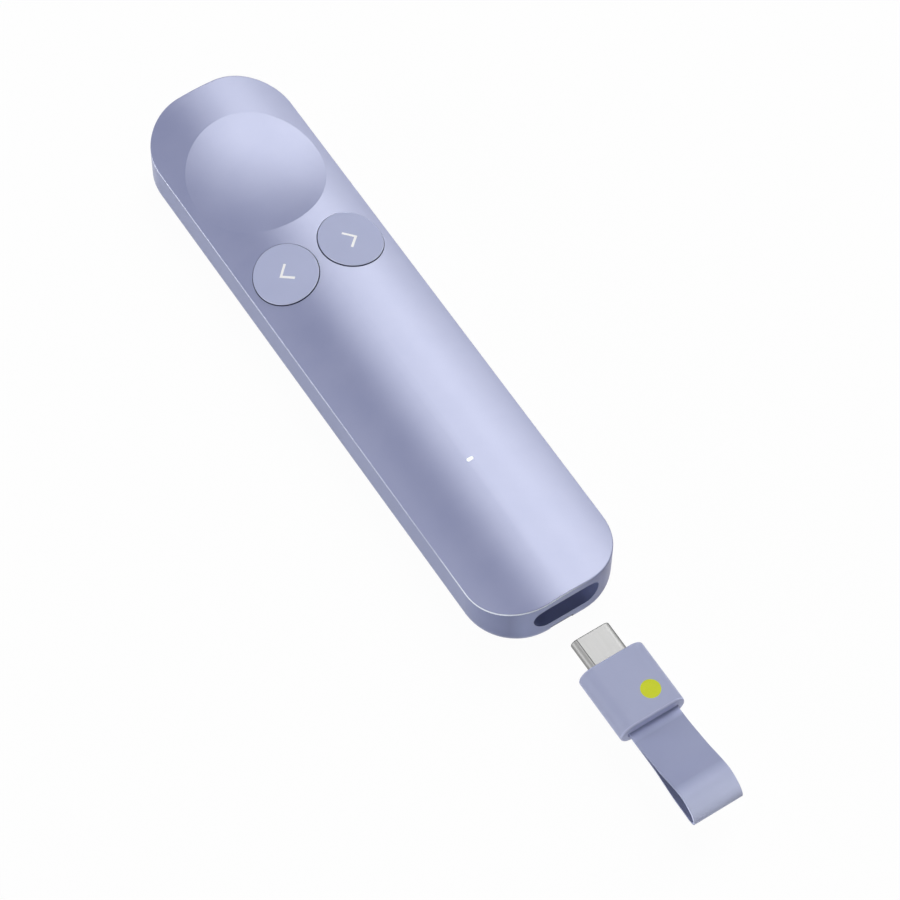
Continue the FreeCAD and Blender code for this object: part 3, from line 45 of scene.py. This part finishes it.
class Wire:
    # One socket of a material, so that sums on it add the nodes that work them out.
    def __init__(self, socket):
        self.socket = socket
        self.tree = socket.id_data

    def add(self, kind, settings, inputs, output=0):
        node = self.tree.nodes.new("ShaderNode" + kind)
        for name, value in settings.items():
            if name == "stops":
                ramp = node.color_ramp
                while len(ramp.elements) < len(value):
                    ramp.elements.new(0.5)
                for stop, (place, shade) in zip(ramp.elements, value):
                    stop.position = place
                    stop.color = (shade, shade, shade, 1)
            else:
                setattr(node, name, value)
        for name, value in inputs.items():
            self.feed(node.inputs[name], value)
        return Wire(node.outputs[output])

    def feed(self, socket, value):
        if isinstance(value, Wire):
            self.tree.links.new(value.socket, socket)
        else:
            socket.default_value = value

    def math(self, operation, first, second):
        return self.add("Math", {"operation": operation}, {0: first, 1: second})

    def __add__(self, other):
        return self.math("ADD", self, other)

    def __radd__(self, other):
        return self.math("ADD", other, self)

    def __sub__(self, other):
        return self.math("SUBTRACT", self, other)

    def __rsub__(self, other):
        return self.math("SUBTRACT", other, self)

    def __mul__(self, other):
        return self.math("MULTIPLY", self, other)

    def __rmul__(self, other):
        return self.math("MULTIPLY", other, self)

    def __pow__(self, other):
        return self.math("POWER", self, other)

    def __abs__(self):
        return self.math("ABSOLUTE", self, 0.0)

    def most(self, other):
        return self.math("MAXIMUM", self, other)

    def least(self, other):
        return self.math("MINIMUM", self, other)

    def parts(self):
        split = self.add("SeparateXYZ", {}, {0: self}).socket.node
        return [Wire(split.outputs[axis]) for axis in range(3)]

    def noise(self, scale, detail=2.0, stretch=None):
        place = self
        if stretch:
            place = self.add("Mapping", {}, {"Vector": self, "Scale": stretch})
        return place.add("TexNoise", {}, {"Vector": place, "Scale": scale, "Detail": detail})

    def ramp(self, low, high):
        return self.add("MapRange", {"clamp": True}, {"Value": self, "From Min": low, "From Max": high})

    def tint(self, first, second):
        # From the first colour, where this is 0, to the second, where it is 1.
        ends = [end if isinstance(end, Wire) else (*end, 1) for end in (first, second)]
        return self.add("Mix", {"data_type": "RGBA"}, {0: self, 6: ends[0], 7: ends[1]}, 2)

    def bump(self, strength, distance):
        return self.add("Bump", {}, {"Height": self, "Strength": strength, "Distance": distance})


def newMaterial(name, fixed):
    # Returns the shader and the piece's own coordinates.
    material = bpy.data.materials.new(name)
    material.use_nodes = True
    shader = material.node_tree.nodes["Principled BSDF"]
    for socket, value in fixed.items():
        shader.inputs[socket].default_value = value
    coordinates = material.node_tree.nodes.new("ShaderNodeTexCoord")
    return material, shader, Wire(coordinates.outputs["Object"])


def wear(shader, place, links):
    for socket, value in links.items():
        place.feed(shader.inputs[socket], value)


def dress(material, *names):
    for name in names:
        for slot in nodes[name].material_slots:
            slot.material = material


def mixed(colour, share, towards=(0, 0, 0)):
    return tuple(a + (b - a) * share for a, b in zip(colour, towards))


# Lavender plastics

satin = {
    "cover": (0.182, 0.202, 0.356),
    "rim": (0.34, 0.37, 0.53),      # painted highlight along the cover's edge
    "rimWidth": 0.1 * mm,
    "rimSoft": 0.15,                # share of the width over which it starts
    "rimNear": (0.85, 0.9, 1.0),    # the same painted highlight, brighter at the near end
    "rimRight": (0.12, 0.14, 0.32),     # painted shade on the same edge right of the bay
    "wall": (0.19, 0.22, 0.4),
    "endLight": (0.32, 0.365, 0.61),     # painted light on the end wall, and painted shade over its right part
    "endRightShade": (0.1, 0.125, 0.36),
    # the inside of the bay, lighter than the wall: painted light that lifts its shade
    "bay": (0.235, 0.27, 0.48),
    "key": (0.44, 0.475, 0.68),
    "housing": (0.37, 0.4, 0.58),
    "lip": (0.5, 0.53, 0.74),       # painted light on the housing's rear face and lip
    "strap": (0.295, 0.322, 0.49),
    "strapRootLight": (0.49, 0.53, 0.77),    # painted light where the housing shades the strap as it leaves
    "strapBendHighlight": (0.7, 0.75, 1.0),      # painted highlight on the strap's far bend
    "roughness": 0.3,
    "keyRoughness": 0.6,
    "housingRoughness": 0.5,
    "strapRoughness": 0.55,
    "sheen": (0.82, 0.85, 1.0),     # tint of the gloss
    "coverGloss": (1.63, 1.0),      # index of refraction and specular level
    "wallGloss": (1.5, 0.25),
    "softGloss": (1.5, 0.4),
    "grainScale": 9000.0,   # grains about a tenth of a millimetre
    "grainDetail": 1,
    "grainDepth": 0.003 * mm,
    "grainBump": 0.25,
    "grainGloss": 0.06,
    "keyGrain": 1.4,        # grain of the keys, housing and strap against the cover's
    "housingGrain": 1.2,
    "strapGrain": 0.6,
    "cloudScale": 90.0,
    "cloudDetail": 3,
    "cloudBand": (0.35, 0.65),
    "cloudShare": 0.02,
}
plan = {"halfWidth": 15.0 * mm, "halfLength": 65.0 * mm, "corner": 11.0 * mm}
bay = {"halfFlat": 3.95 * mm, "radius": 3.15 * mm, "height": 8.2 * mm}
key = {
    "aside": 6.869 * mm,
    "along": 20.0 * mm,
    "height": 10.804 * mm,
    "lean": math.radians(11.573),
    "edge": (6.2 * mm, 6.28 * mm),      # from the axis out: a painted highlight on the near edge and painted shade on the side in the gap
    "side": (6.37 * mm, 6.39 * mm),
    "edgeHighlight": (0.62, 0.66, 0.86),
    "gapShade": (0.03, 0.035, 0.08),
}
notch = {
    "middle": -1.0 * mm,
    "halfWidth": 2.5 * mm,
    "height": 2.025 * mm,
    "halfHeight": 1.125 * mm,
    # near black: painted shade inside the slot and on a thin strip of wall above it
    "shade": (0.02, 0.022, 0.045),
}
outline = (0.01 * mm, 0.03 * mm)    # how sharply a painted shape ends
fades = {
    # along the part, where a colour starts and where it is full
    "rimNear": (-50 * mm, -64 * mm),
    "rimRight": (-56 * mm, -60 * mm),
    "endLight": (-62.5 * mm, -64 * mm),
    "endRightShade": (-57 * mm, -61 * mm),
    "bay": (-30 * mm, -31 * mm),
    "notch": (-60 * mm, -60.5 * mm),
    "keyHighlight": (20.5 * mm, 17.5 * mm),
    "lip": (-91.95 * mm, -92.05 * mm),
    "strapRootLight": (-94.5 * mm, -93 * mm),
    "strapBendHighlight": (-106 * mm, -111.5 * mm),
    # the same across the part
    "rimAcross": (-1 * mm, 6 * mm),
    "endAcross": (1.5 * mm, 8.5 * mm),
    # the near rim's painted highlight comes later on the left; only the strap's upper layer gets the painted
    # highlight
    "rimSlant": 0.5,
    "strapSlant": 0.1,
    "strapUpper": (18.5 * mm, 20.5 * mm),
}


def outsidePlan(place):
    # How far a point is outside the casing's plan outline; negative inside.
    x, y, z = place.parts()
    aside = abs(x) - (plan["halfWidth"] - plan["corner"])
    along = abs(y) - (plan["halfLength"] - plan["corner"])
    beyond = aside.most(0.0) * aside.most(0.0) + along.most(0.0) * along.most(0.0)
    return beyond ** 0.5 + aside.most(along).least(0.0) - plan["corner"]


def outsideBay(place):
    x, y, z = place.parts()
    aside = (abs(x) - bay["halfFlat"]).most(0.0)
    above = z - bay["height"]
    return (aside * aside + above * above) ** 0.5 - bay["radius"]


def satinPlastic(name, colour, roughness, gloss, grain=1.0, accents=()):
    # Each accent is a function that gives a mask from the place, and its colour: painted highlights, light
    # and shade.
    index, level = gloss
    material, shader, place = newMaterial(name, {"IOR": index, "Specular IOR Level": level,
                                                 "Specular Tint": (*satin["sheen"], 1)})
    cloud = place.noise(satin["cloudScale"], satin["cloudDetail"])
    fine = place.noise(satin["grainScale"], satin["grainDetail"])
    share = satin["cloudShare"]
    skin = cloud.ramp(*satin["cloudBand"]).tint(mixed(colour, share), mixed(colour, share, (1, 1, 1)))
    for mask, second in accents:
        skin = mask(place).tint(skin, second)
    wear(shader, place, {
        "Base Color": skin,
        "Roughness": roughness - share + cloud * (share * 2) + (fine - 0.5) * satin["grainGloss"],
        "Normal": fine.bump(satin["grainBump"] * grain, satin["grainDepth"]),
    })
    return material


def fade(place, name):
    x, y, z = place.parts()
    return y.ramp(*fades[name])


# The thin band along the cover's edge that carries its painted highlight and, right of the bay, painted
# shade.
def rimMask(place):
    width, soft = satin["rimWidth"], satin["rimSoft"]
    return outsidePlan(place).ramp(-(1 + soft) * width, -(1 - soft) * width)


def rimNearMask(place):
    x, y, z = place.parts()
    return rimMask(place) * (y + x * fades["rimSlant"]).ramp(*fades["rimNear"])


def rimRightMask(place):
    x, y, z = place.parts()
    return rimMask(place) * fade(place, "rimRight") * x.ramp(*fades["rimAcross"])


# Painted light over the end wall's flat part.
def endLightMask(place):
    return fade(place, "endLight")


# Painted shade over the end wall's right part.
def endRightShadeMask(place):
    x, y, z = place.parts()
    return fade(place, "endRightShade") * x.ramp(*fades["endAcross"])


# Painted light inside the bay.
def bayLightMask(place):
    return (1 - outsideBay(place).ramp(*outline)) * fade(place, "bay")


def notchShadeMask(place):
    x, y, z = place.parts()
    aside = abs(x - notch["middle"]) - notch["halfWidth"]
    above = abs(z - notch["height"]) - notch["halfHeight"]
    return (1 - aside.most(above).ramp(*outline)) * fade(place, "notch")


def outFromKey(place):
    # Distance from the leaning axis of the nearer key.
    x, y, z = place.parts()
    across = (abs(x) - key["aside"]) * math.cos(key["lean"]) - (z - key["height"]) * math.sin(key["lean"])
    along = y - key["along"]
    return (across * across + along * along) ** 0.5


# Painted highlight on the key's near edge.
def keyHighlightMask(place):
    return outFromKey(place).ramp(*key["edge"]) * fade(place, "keyHighlight")


# Painted shade on the key's side, down in the gap.
def keyGapShadeMask(place):
    return outFromKey(place).ramp(*key["side"])


def lipMask(place):
    return fade(place, "lip")


def strapRootLightMask(place):
    return fade(place, "strapRootLight")


def strapBendHighlightMask(place):
    x, y, z = place.parts()
    return fade(place, "strapBendHighlight") * (z - y * fades["strapSlant"]).ramp(*fades["strapUpper"])


coverFinish = satinPlastic("coverFinish", satin["cover"], satin["roughness"], satin["coverGloss"], 1.0,
                           [(rimMask, satin["rim"]), (rimNearMask, satin["rimNear"]),
                            (rimRightMask, satin["rimRight"])])
wallFinish = satinPlastic("wallFinish", satin["wall"], satin["roughness"], satin["wallGloss"], 1.0,
                          [(endLightMask, satin["endLight"]), (endRightShadeMask, satin["endRightShade"]),
                           (bayLightMask, satin["bay"]), (notchShadeMask, notch["shade"])])
keyFinish = satinPlastic("keyFinish", satin["key"], satin["keyRoughness"], satin["softGloss"],
                         satin["keyGrain"],
                         [(keyHighlightMask, key["edgeHighlight"]), (keyGapShadeMask, key["gapShade"])])
housingFinish = satinPlastic("housingFinish", satin["housing"], satin["housingRoughness"], satin["softGloss"],
                             satin["housingGrain"], [(lipMask, satin["lip"])])
strapFinish = satinPlastic("strapFinish", satin["strap"], satin["strapRoughness"], satin["softGloss"],
                           satin["strapGrain"],
                           [(strapRootLightMask, satin["strapRootLight"]), (strapBendHighlightMask, satin["strapBendHighlight"])])
print("lavender plastics made")

dress(coverFinish, "upper_shell")
dress(wallFinish, "lower_shell")
dress(keyFinish, "back_key", "next_key")
dress(housingFinish, "receiver_housing", "receiver_nose")


# Small parts in view

mottled = {
    "scale": 4000.0,
    "detail": 3,
    "band": (0.3, 0.7),
    "darker": 0.03,
    "lighter": 0.015,
    "gloss": 0.08,
    "bump": 0.08,
    "depth": 0.004 * mm,
}
brushed = {
    "scale": 2500.0,
    "detail": 4,
    "band": (0.3, 0.7),
    "darker": 0.04,
    "lighter": 0.01,
    "gloss": 0.06,
    "bump": 0.04,
    "depth": 0.002 * mm,
}


def finishFrom(look, pattern, colour, roughness):
    # The skin, roughness and normal that one fine pattern gives.
    ends = (mixed(colour, look["darker"]), mixed(colour, look["lighter"], (1, 1, 1)))
    return {
        "Base Color": pattern.ramp(*look["band"]).tint(*ends),
        "Roughness": roughness - look["gloss"] / 2 + pattern * look["gloss"],
        "Normal": pattern.bump(look["bump"], look["depth"]),
    }


def plainFinish(name, colour, roughness, specular=0.5):
    material, shader, place = newMaterial(name, {"Specular IOR Level": specular})
    mottle = place.noise(mottled["scale"], mottled["detail"])
    wear(shader, place, finishFrom(mottled, mottle, colour, roughness))
    return material


def brushedFinish(name, colour, roughness, stretch, accent=None):
    material, shader, place = newMaterial(name, {"Metallic": 1.0})
    lines = place.noise(brushed["scale"], brushed["detail"], stretch)
    links = finishFrom(brushed, lines, colour, roughness)
    if accent:
        mask, second = accent
        links["Base Color"] = mask(place).tint(links["Base Color"], second)
    wear(shader, place, links)
    return material


plug = {
    "colour": (0.24, 0.24, 0.238),
    "roughness": 0.5,
    "stretch": (1, 0.05, 1),
    # dark colour of the painted reflections
    "shade": (0.03, 0.03, 0.031),
    "bend": -2.93 * mm,
    "bendLine": (0.024 * mm, 0.108 * mm),
    "sideLine": (3.78 * mm, 3.9 * mm),
    "tipLine": (-72.192 * mm, -72.12 * mm),
}


def plugReflectionMask(place):
    # Painted dark reflections where the plug's flat face turns round, down its other side and round its tip.
    x, y, z = place.parts()
    bend = 1 - abs(x - plug["bend"]).ramp(*plug["bendLine"])
    side = x.ramp(*plug["sideLine"])
    tip = y.ramp(*plug["tipLine"])
    return bend.most(tip).most(side)


glow = {
    "colour": (0.95, 1.0, 0.97),
    "strength": 0.78,
    "roughness": 0.2,
    "scale": 3000.0,
    "detail": 2,
    "unlit": (0.7, 0.65),   # how much darker the plastic itself is
    "milk": 0.08,
}


def glowFinish(name):
    colour = glow["colour"]
    material, shader, place = newMaterial(name, {"Roughness": glow["roughness"],
                                                 "Emission Strength": glow["strength"]})
    milky = place.noise(glow["scale"], glow["detail"])
    wear(shader, place, {
        "Base Color": milky.tint(*(mixed(colour, share) for share in glow["unlit"])),
        "Emission Color": milky.tint(mixed(colour, glow["milk"]), colour),
    })
    return material


smallParts = {
    # colour, roughness and, where it isn't 0.5, specular level
    "arrow": ((0.95, 0.95, 0.96), 0.45),
    "lime": ((0.66, 0.72, 0.012), 0.55, 0.2),
    # the dock sleeve, lighter than the wall: painted light that lifts the shade in the bay
    "liner": ((0.235, 0.27, 0.48), 0.6),
    "pad": ((0.2, 0.21, 0.31), 0.75),
    "insert": ((0.012, 0.012, 0.014), 0.45),
    "board": ((0.012, 0.09, 0.05), 0.35),
    "chip": ((0.012, 0.012, 0.014), 0.4),
    "foam": ((0.02, 0.02, 0.022), 0.9),
    "jacket": ((0.3, 0.02, 0.018), 0.45),
    "film": ((0.42, 0.17, 0.02), 0.3),
    "connector": ((0.75, 0.74, 0.68), 0.5),
    "sensor": ((0.5, 0.3, 0.1), 0.35),
}
for partName, look in smallParts.items():
    smallParts[partName] = plainFinish(partName + "Finish", *look)
metals = {
    # colour, roughness and how the brushed lines are stretched
    "socket": ((0.5, 0.5, 0.5), 0.35, (1, 0.05, 1)),
    "can": ((0.55, 0.55, 0.54), 0.35, (0.1, 1, 1)),
    "cell": ((0.6, 0.61, 0.63), 0.4, (1, 0.2, 1)),
    "screw": ((0.13, 0.13, 0.14), 0.4, (1, 1, 1)),
    "sheet": ((0.45, 0.45, 0.46), 0.38, (0.1, 1, 1)),
    "gold": ((0.75, 0.5, 0.17), 0.3, (1, 0.1, 1)),
}
for partName, look in metals.items():
    metals[partName] = brushedFinish(partName + "Metal", *look)
metals["plug"] = brushedFinish("plugMetal", plug["colour"], plug["roughness"], plug["stretch"],
                               (plugReflectionMask, plug["shade"]))
lightFinish = glowFinish("lightFinish")
print("small finishes made")

dress(smallParts["arrow"], "back_arrow", "next_arrow")
dress(smallParts["lime"], "receiver_mark")
dress(smallParts["liner"], "dock_sleeve")
dress(smallParts["pad"], "base_pad")
dress(smallParts["insert"], "plug_insert", "socket_tongue")
dress(smallParts["board"], "main_board", "key_board", "receiver_board")
dress(smallParts["chip"], "radio_chip", "charger_chip", "receiver_chip", "back_switch", "next_switch")
dress(smallParts["foam"], "battery_pad", "haptic_ring")
dress(smallParts["jacket"], "battery_wires")
dress(smallParts["film"], "board_cable", "sensor_cable")
dress(smallParts["connector"], "battery_connector", "antenna", "back_switch_button", "next_switch_button")
dress(smallParts["sensor"], "force_sensor")
dress(metals["plug"], "plug_shell")
dress(metals["socket"], "socket_shell")
dress(metals["can"], "shield_can")
dress(metals["cell"], "battery_cell")
dress(metals["screw"], "case_screws", "board_screws", "strap_pin")
dress(metals["sheet"], "sensor_bridge", "haptic_actuator")
dress(metals["gold"], "plug_contacts")
dress(lightFinish, "light_pipe", "status_led")


# Strap: one tape that goes round the pin inside the housing and out through its slot

strap = {
    "halfWidth": 5.2 * mm,
    "thickness": 0.42 * mm,
    "edge": 0.1 * mm,
    "edgeSteps": 3,
    "smooth": math.radians(40),
    "merge": 0.01 * mm,
    "least": 0.02 * mm,     # shortest row of the tape
    "step": 0.3,            # between two rows, in millimetres
    "apart": 0.2,           # what lies lower than the start by this isn't the start, in millimetres
    # y and z of the tape's middle, in millimetres: out of the housing, round the loop and back
    # underneath, and round the pin
    "start": [(-91.6, 8.43), (-92.0, 8.43)],
    "run": [(-93.3, 8.43), (-96.0, 8.52), (-99.4, 9.05), (-102.5, 9.68), (-105.5, 10.6), (-108.2, 11.15),
            (-110.0, 10.8), (-111.4, 10.0), (-112.3, 9.05), (-112.62, 8.2), (-112.45, 7.3), (-111.3, 6.85),
            (-109.4, 6.95),
            (-106.7, 6.99), (-103.7, 7.46), (-100.7, 8.0), (-97.3, 8.05), (-93.4, 7.97), (-91.6, 7.97),
            (-90.7, 7.76), (-89.6, 7.34), (-88.75, 7.75), (-88.6, 8.2), (-88.75, 8.65), (-89.6, 9.06),
            (-90.7, 8.64)],
}


def throughPoints(points, step):
    # A smooth closed line through the points, in short steps.
    line = []
    count = len(points)
    for index in range(count):
        before, here, after, later = (Vector(points[(index + shift) % count]) for shift in (-1, 0, 1, 2))
        parts = max(1, round((after - here).length / step))
        for part in range(parts):
            t = part / parts
            bend = 2 * before - 5 * here + 4 * after - later
            twist = 3 * here - before - 3 * after + later
            line.append(0.5 * (2 * here + (after - before) * t + bend * t ** 2 + twist * t ** 3))
    return line


def layStrap():
    first, second = strap["start"]
    line = throughPoints([*strap["start"], *strap["run"]], strap["step"])
    lower = first[1] - strap["apart"]
    opened = [point for point in line if point.x < second[0] or point.y < lower or point.x > first[0]]
    bpy.ops.object.select_all(action="DESELECT")
    middle = (0, (first[0] + second[0]) / 2 * mm, first[1] * mm)
    bpy.ops.mesh.primitive_plane_add(size=1, location=middle)
    tape = bpy.context.object
    tape.name = "strap_tape"
    bpy.ops.transform.resize(value=(2 * strap["halfWidth"], (first[0] - second[0]) * mm, 1))
    bpy.ops.object.transform_apply()
    bpy.ops.object.mode_set(mode="EDIT")
    bpy.ops.mesh.select_all(action="DESELECT")
    bpy.ops.object.mode_set(mode="OBJECT")
    for vertex in tape.data.vertices:
        vertex.select = vertex.co.y < middle[1]
    for edge in tape.data.edges:
        edge.select = all(tape.data.vertices[end].select for end in edge.vertices)
    bpy.ops.object.mode_set(mode="EDIT")
    bpy.context.tool_settings.mesh_select_mode = (False, True, False)
    here = Vector(second)
    for point in [*opened, Vector(first)]:
        move = (point - here) * mm
        if move.length < strap["least"]:
            continue
        bpy.ops.mesh.extrude_region_move(TRANSFORM_OT_translate={"value": (0, move.x, move.y)})
        here = point
    bpy.ops.mesh.select_all(action="SELECT")
    bpy.ops.mesh.remove_doubles(threshold=strap["merge"])
    bpy.ops.mesh.normals_make_consistent(inside=False)
    bpy.ops.object.mode_set(mode="OBJECT")
    finish = tape.modifiers.new("thickness", "SOLIDIFY")
    finish.thickness = strap["thickness"]
    finish.offset = 0
    edge = tape.modifiers.new("edge", "BEVEL")
    edge.width = strap["edge"]
    edge.segments = strap["edgeSteps"]
    edge.limit_method = "ANGLE"
    for modifier in ("thickness", "edge"):
        bpy.ops.object.modifier_apply(modifier=modifier)
    bpy.ops.object.shade_smooth_by_angle(angle=strap["smooth"])
    tape.data.materials.append(strapFinish)
    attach(tape, "receiver")
    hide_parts("strap_loop")


layStrap()
print("strap laid")


# Camera

photoCamera = {
    "azimuth": -34.249,
    "elevation": 60.896,
    "roll": 1.403,
    "distance": 738.15 * mm,
    "aside": 14.144 * mm,
    "above": -15.659 * mm,
    "lens": 155.37,
    "sensor": 36.0,
    "nearest": 0.01,
}


def addCamera():
    turn = math.radians(photoCamera["azimuth"])
    lift = math.radians(photoCamera["elevation"])
    roll = math.radians(photoCamera["roll"])
    back = Vector((math.sin(turn) * math.cos(lift), -math.cos(turn) * math.cos(lift), math.sin(lift)))
    level = Vector((math.cos(turn), math.sin(turn), 0))
    upright = back.cross(level)
    right = math.cos(roll) * level + math.sin(roll) * upright
    up = math.cos(roll) * upright - math.sin(roll) * level
    place = right * photoCamera["aside"] + up * photoCamera["above"] + back * photoCamera["distance"]
    bpy.ops.object.camera_add(location=place)
    camera = bpy.context.object
    camera.rotation_euler = Matrix((right, up, back)).transposed().to_euler()
    camera.data.lens = photoCamera["lens"]
    camera.data.sensor_width = photoCamera["sensor"]
    camera.data.clip_start = photoCamera["nearest"]
    bpy.context.scene.camera = camera


addCamera()
print("camera placed")


# Studio

studio = {
    "floorSide": 4.0,
    "floorDrop": 0.02 * mm,
    "floorColour": (0.8, 0.8, 0.8),
    "floorRoughness": 0.9,
    "floorGlow": 0.97,      # the rest keeps the object's shadow
    "distance": 2.0,        # of the panels from the object's middle
    "panel": 0.6,
    # azimuth, elevation and power at one metre: a tall bank of panels on the right, low ones on the left
    "panels": [(105, 26, 0.47), (120, 26, 0.65), (105, 42, 1.07), (120, 42, 0.75), (135, 42, 0.96),
               (110, 56, 0.59), (130, 56, 0.83), (150, 56, 0.59), (95, 70, 0.13), (125, 70, 1.31),
               (160, 70, 0.6), (240, 56, 0.45), (240, 10, 4.4), (300, 10, 2.0), (0, 28, 0.58),
               (24, 50, 0.75)],
}


def shownWhite(tree):
    # 1 for the rays that show what lies behind the object, straight or in gloss and glass.
    paths = tree.nodes.new("ShaderNodeLightPath")
    camera = Wire(paths.outputs["Is Camera Ray"])
    glossy = Wire(paths.outputs["Is Glossy Ray"])
    through = Wire(paths.outputs["Is Transmission Ray"])
    return (camera + glossy + through).ramp(0, 1)


def addFloor():
    bpy.ops.mesh.primitive_plane_add(size=studio["floorSide"], location=(0, 0, -studio["floorDrop"]))
    floor = bpy.context.object
    floor.name = "floor"
    material = bpy.data.materials.new("paleFloor")
    material.use_nodes = True
    tree = material.node_tree
    shader = tree.nodes["Principled BSDF"]
    shader.inputs["Base Color"].default_value = (*studio["floorColour"], 1)
    shader.inputs["Roughness"].default_value = studio["floorRoughness"]
    seen = shownWhite(tree)
    glow = seen.add("Emission", {}, {"Color": (1, 1, 1, 1), "Strength": 1.0})
    surface = seen.add("MixShader", {}, {0: seen * studio["floorGlow"], 1: Wire(shader.outputs[0]), 2: glow})
    tree.links.new(surface.socket, tree.nodes["Material Output"].inputs["Surface"])
    floor.data.materials.append(material)


def addWorld():
    world = bpy.data.worlds.new("studio")
    bpy.context.scene.world = world
    world.use_nodes = True
    tree = world.node_tree
    seen = shownWhite(tree)
    seen.feed(tree.nodes["Background"].inputs["Color"], (1, 1, 1, 1))
    seen.feed(tree.nodes["Background"].inputs["Strength"], seen)


def addPanel(azimuth, elevation, power):
    turn = math.radians(azimuth)
    lift = math.radians(elevation)
    away = Vector((math.sin(turn) * math.cos(lift), -math.cos(turn) * math.cos(lift), math.sin(lift)))
    bpy.ops.object.light_add(type="AREA", location=away * studio["distance"])
    lamp = bpy.context.object
    lamp.name = f"panel_{azimuth}_{elevation}"
    lamp.rotation_euler = (-away).to_track_quat("-Z", "Y").to_euler()
    lamp.data.size = studio["panel"]
    lamp.data.energy = power * studio["distance"] ** 2
    lamp.visible_camera = False


bpy.ops.object.select_all(action="DESELECT")
addFloor()
addWorld()
for panel in studio["panels"]:
    addPanel(*panel)
bpy.context.scene.view_settings.view_transform = "Standard"
print("studio set up")
